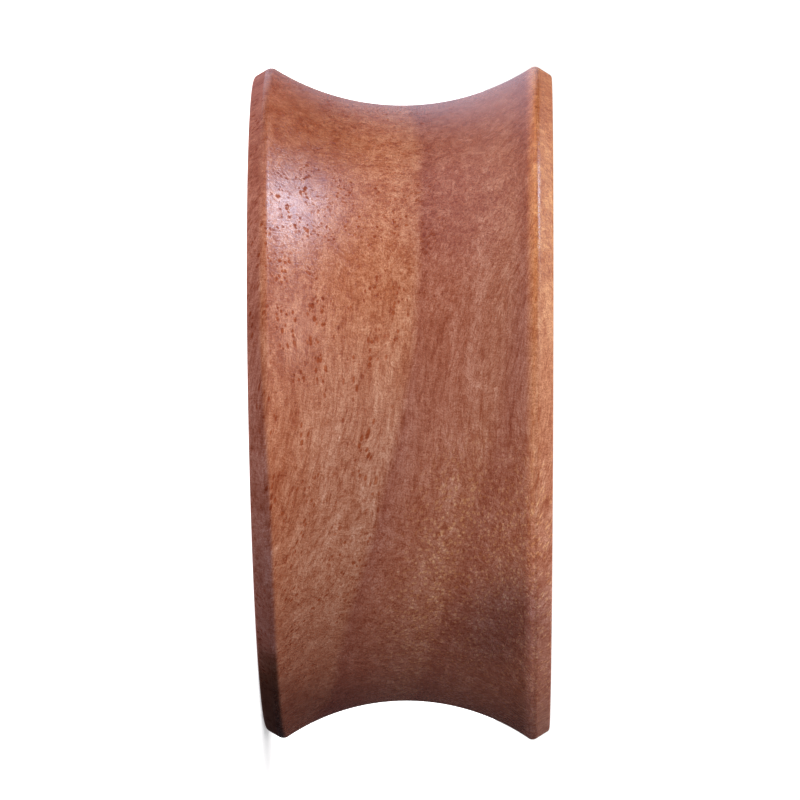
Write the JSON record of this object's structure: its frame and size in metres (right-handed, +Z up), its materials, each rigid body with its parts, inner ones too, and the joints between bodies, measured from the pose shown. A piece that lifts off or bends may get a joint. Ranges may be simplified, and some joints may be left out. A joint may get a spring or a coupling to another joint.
{
  "type": "double-flared wooden ear plug",
  "caption": "Solid double-flared ear plug with a concave waist for the lobe between bevelled rims, turned from one piece of reddish-brown satin hardwood.",
  "frame": {"origin": "where the axis of turning meets the base face, which the plug lies on", "axes": "+Z up out of the base face towards the front face, +X towards the side where the plug is thinnest, +Y to complete a right-handed frame; the axis of turning leans 1.05 degrees from +Z towards +X"},
  "size_m": [0.0289, 0.0288, 0.0126],
  "materials": {
    "heartwood": "close-grained reddish-brown heartwood, fine sanded and oiled to a satin"
  },
  "bodies": {
    "root": {"wooden_plug": "heartwood"}
  },
  "joints": []
}
